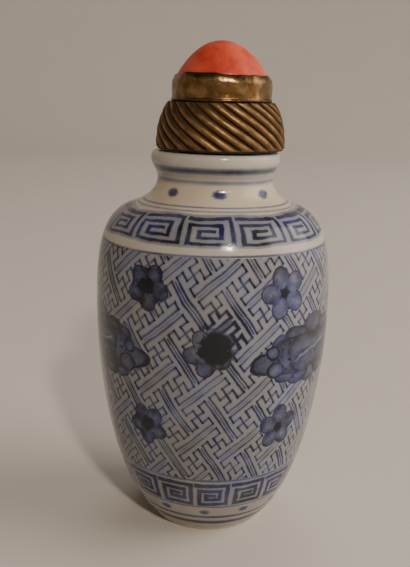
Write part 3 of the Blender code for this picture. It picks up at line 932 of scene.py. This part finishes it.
def makeBezel(material):
    s = bezelShape
    base, top = s["base"] + 0.02, s["top"]
    bead = curveRun((s["radius"] - 0.3, base), 90, (s["radius"] - 0.1, base + 0.55), -60, (0.5, 0.5), 9)
    side = curveRun((s["radius"] - 0.1, base + 0.64), 0, (s["radius"], top - 1.3), 0, (0.3, 0.3), 14)
    rim = curveRun((s["radius"], top - 1.3), 0, (s["rim"], top), -38, (0.4, 0.3), 10)
    lip = curveRun((s["rim"], top), -60, (s["inside"] + 0.05, top - 0.12), -150, (0.4, 0.4), 6)
    outline = [Vector((s["inside"] + 0.02, 0, base))] + list(bead) + list(side) + rim[1:] + lip[1:]
    outline += [Vector((s["inside"], 0, top - 0.8)), Vector((s["inside"] + 0.02, 0, base))]
    bm = spinOutline(outline, s["segments"])
    layer = bm.verts.layers.float.new("dirtAndShadeMask")
    for vert in bm.verts:
        radius = math.hypot(vert.co.x, vert.co.y)
        angle = math.atan2(vert.co.y, vert.co.x)
        rise = (vert.co.z / mm - s["base"]) / (s["top"] - s["base"])
        around = Vector((math.cos(angle) * 2.2, math.sin(angle) * 2.2, rise * 1.3))
        wrinkle = noise.noise(Vector((math.cos(angle) * 5.5, math.sin(angle) * 5.5, rise * 2.6)))
        dent = noise.noise(around) * s["dents"] + wrinkle * s["wrinkle"]
        if radius > (s["inside"] + 0.1) * mm:
            radius += (dent - 0.09) * mm * min(1, max(rise, 0) * 3)
            wave = noise.noise(around * 1.8 + Vector((7, 3, 1))) * s["rimWave"]
            vert.co.z += wave * mm * max(rise - 0.45, 0) * 1.8
            swell = s["swell"] * math.exp(-((angle - s["swellTurn"]) / s["swellWidth"]) ** 2)
            vert.co.z += swell * mm * max(rise - 0.55, 0) / 0.45
        vert.co.x = radius * math.cos(angle)
        vert.co.y = radius * math.sin(angle)
        # darker at the foot, as painted shade where the bezel sits on the cap, and darker in the dents
        vert[layer] = max(0.0, 0.75 - rise * 5) + max(0.0, -dent * 2.2)
    return addPiece("bezelCollar", bm, material, "bezel", 60, stopperShift)


stoneShape = {
    "girdle": 7.04, "girdleRound": 0.3, "base": 69.8, "apex": stoneHigh.z / mm, "dome": 5.15,
    "roundness": 0.16, "steps": 40, "segments": 160, "seat": 73.4,
}
coralLook = {
    "red": (0.48, 0.056, 0.028), "deep": (0.34, 0.028, 0.014), "pale": (0.62, 0.120, 0.065),
    "roughness": 0.34,
}


def makeCoral():
    look = coralLook
    material, tree, shader, objectPlace = newMaterial("polishedCoral")
    place = doVector(tree, "SCALE", objectPlace, scale=1 / mm)
    stretched = doVector(tree, "MULTIPLY", place, (0.9, 0.9, 0.28))
    streaks = grain(tree, stretched, 0.9, 5.0, 0.6, 0.6)
    clouds = grain(tree, place, 0.22, 3.0, 0.55)
    colour = blendColour(tree, ramp(tree, streaks, 0.38, 0.7), look["red"], look["deep"])
    colour = blendColour(tree, ramp(tree, clouds, 0.45, 0.75, 0.0, 0.75), colour, look["pale"])
    pores = tree.nodes.new("ShaderNodeTexVoronoi")
    wire(tree, place, pores.inputs["Vector"])
    wire(tree, 2.2, pores.inputs["Scale"])
    pore = ramp(tree, pores.outputs["Distance"], 0.06, 0.16, 0.55, 0.0)
    colour = blendColour(tree, pore, colour, (0.10, 0.012, 0.006))
    tree.links.new(colour, shader.inputs["Base Color"])
    rough = ramp(tree, streaks, 0.3, 0.7, look["roughness"] * 0.8, look["roughness"] * 1.5)
    tree.links.new(rough, shader.inputs["Roughness"])
    shader.inputs["IOR"].default_value = 1.5
    shader.inputs["Specular IOR Level"].default_value = 0.28
    shader.inputs["Subsurface Weight"].default_value = 0.12
    shader.inputs["Subsurface Scale"].default_value = 0.6 * mm
    shader.inputs["Subsurface Radius"].default_value = (1.0, 0.3, 0.15)
    addBump(tree, shader, minus(tree, streaks, pore), 0.05 * mm)
    return material


def makeStone(material):
    s = stoneShape
    outline = [Vector((0, 0, s["base"])), Vector((s["girdle"] - s["girdleRound"], 0, s["base"]))]
    outline += [Vector((s["girdle"], 0, s["base"] + s["girdleRound"]))]
    for i in range(s["steps"] + 1):
        drop = (1 - i / s["steps"]) ** 2
        share = drop * (1 - s["roundness"] * drop) / (1 - s["roundness"])
        outline.append(Vector((s["girdle"] * math.sqrt(share), 0, s["apex"] - s["dome"] * drop)))
    bm = spinOutline(outline, s["segments"])
    for vert in bm.verts:
        if vert.co.z > s["seat"] * mm:
            lift = noise.noise(vert.co * 150) * 0.07 * mm - 0.07 * mm
            vert.co += Vector((vert.co.x, vert.co.y, vert.co.z - 68 * mm)).normalized() * lift
    return addPiece("coralCabochon", bm, material, "cabochon", 60, stopperShift)


capMetal = makeMetal("giltCapMetal", 0.46, 0.05, 1.0)
bezelMetal = makeMetal("giltBezelMetal", 0.27, 0.07, 0.35)
makeCap(capMetal)
makeBezel(bezelMetal)
makeStone(makeCoral())
print("stopper done")


def makeCork():
    material, tree, shader, objectPlace = newMaterial("corkGrain")
    place = doVector(tree, "SCALE", objectPlace, scale=1 / mm)
    cells = grain(tree, place, 1.6, 5.0, 0.65)
    pores = tree.nodes.new("ShaderNodeTexVoronoi")
    wire(tree, place, pores.inputs["Vector"])
    wire(tree, 0.9, pores.inputs["Scale"])
    pore = ramp(tree, pores.outputs["Distance"], 0.10, 0.22, 0.9, 0.0)
    colour = blendColour(tree, ramp(tree, cells, 0.3, 0.7), (0.52, 0.35, 0.20), (0.33, 0.20, 0.10))
    colour = blendColour(tree, pore, colour, (0.12, 0.06, 0.03))
    tree.links.new(colour, shader.inputs["Base Color"])
    shader.inputs["Roughness"].default_value = 0.85
    addBump(tree, shader, minus(tree, cells, pore), 0.12 * mm)
    return material


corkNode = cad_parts["cork"]
corkNode.data.materials[0] = makeCork()


# floor that sweeps up behind, studio light and the camera

stageLook = {
    "floor": (0.53, 0.488, 0.435), "radius": 1.25, "bend": 0.5, "bendSteps": 24, "rise": 1.05,
    "segments": 72,
}


def makeStage():
    s = stageLook
    material, tree, shader, objectPlace = newMaterial("paleFloor")
    speckle = grain(tree, objectPlace, 40.0, 4.0, 0.6)
    dark = tuple(value * 0.95 for value in s["floor"])
    colour = blendColour(tree, speckle, s["floor"], dark)
    tree.links.new(colour, shader.inputs["Base Color"])
    shader.inputs["Roughness"].default_value = 0.65
    flat, bend = s["radius"] - s["bend"], s["bend"]
    outline = [Vector((0, 0, 0)), Vector((flat, 0, 0))]
    for step in range(1, s["bendSteps"] + 1):
        turn = math.pi / 2 * step / s["bendSteps"]
        outline.append(Vector((flat + bend * math.sin(turn), 0, bend * (1 - math.cos(turn)))))
    outline.append(Vector((s["radius"], 0, s["rise"])))
    bm = spinOutline([point / mm for point in outline], s["segments"])
    bmesh.ops.reverse_faces(bm, faces=bm.faces)
    mesh = bpy.data.meshes.new("studioFloor")
    bm.to_mesh(mesh)
    bm.free()
    mesh.shade_smooth()
    mesh.materials.append(material)
    floor = bpy.data.objects.new("studioFloor", mesh)
    bpy.context.scene.collection.objects.link(floor)


def addLight(name, direction, distance, size, power, colour):
    lamp = bpy.data.lights.new(name, "AREA")
    lamp.shape = "DISK"
    lamp.size = size
    lamp.energy = power
    lamp.color = colour
    light = bpy.data.objects.new(name, lamp)
    target = Vector((0, 0, 0.04))
    light.location = target + Vector(direction).normalized() * distance
    light.rotation_euler = (target - light.location).to_track_quat("-Z", "Y").to_euler()
    bpy.context.scene.collection.objects.link(light)
    return light


def makeLights():
    addLight("keyLight", (0.25, -0.769, 0.588), 0.6, 0.05, 2.1, (1.0, 0.91, 0.80))
    addLight("sideSoftbox", (0.97, 0.04, 0.52), 1.05, 0.95, 5.2, (1.0, 0.93, 0.86))
    # these two only light the piece and the floor, so the glaze doesn't mirror them
    side = addLight("sideFill", (0.97, -0.06, 0.5), 1.05, 0.95, 9.0, (1.0, 0.93, 0.86))
    back = addLight("backFill", (0.1, 0.72, 1.0), 1.25, 0.8, 4.4, (1.0, 0.94, 0.88))
    for fill in (side, back):
        fill.visible_glossy = False
    world = bpy.data.worlds.new("softRoom")
    world.use_nodes = True
    world.node_tree.nodes["Background"].inputs["Color"].default_value = (0.72, 0.65, 0.58, 1)
    world.node_tree.nodes["Background"].inputs["Strength"].default_value = 0.06
    bpy.context.scene.world = world


cameraLook = {
    "distance": 122.83, "height": 71.63, "pitch": 0.2520, "roll": 0.0224, "yaw": -0.0101,
    "focalPixels": 761.25, "imageHeight": 567, "sensor": 36,
}


def makeCamera():
    s = cameraLook
    data = bpy.data.cameras.new("photoCamera")
    data.sensor_width = s["sensor"]
    data.lens = s["focalPixels"] / s["imageHeight"] * s["sensor"]
    data.clip_start = 0.005
    camera = bpy.data.objects.new("photoCamera", data)
    cosYaw, sinYaw = math.cos(s["yaw"]), math.sin(s["yaw"])
    cosPitch, sinPitch = math.cos(s["pitch"]), math.sin(s["pitch"])
    cosRoll, sinRoll = math.cos(s["roll"]), math.sin(s["roll"])
    right = Vector((cosYaw, -sinYaw, 0))
    up = Vector((sinYaw * sinPitch, cosYaw * sinPitch, cosPitch))
    forward = Vector((sinYaw * cosPitch, cosYaw * cosPitch, -sinPitch))
    axisX = right * cosRoll + up * sinRoll
    axisY = up * cosRoll - right * sinRoll
    axisZ = -forward
    turned = Matrix((axisX, axisY, axisZ)).transposed().to_4x4()
    camera.matrix_world = Matrix.Translation((0, -s["distance"] * mm, s["height"] * mm)) @ turned
    bpy.context.scene.collection.objects.link(camera)
    bpy.context.scene.camera = camera


makeStage()
makeLights()
makeCamera()
print("stage done")
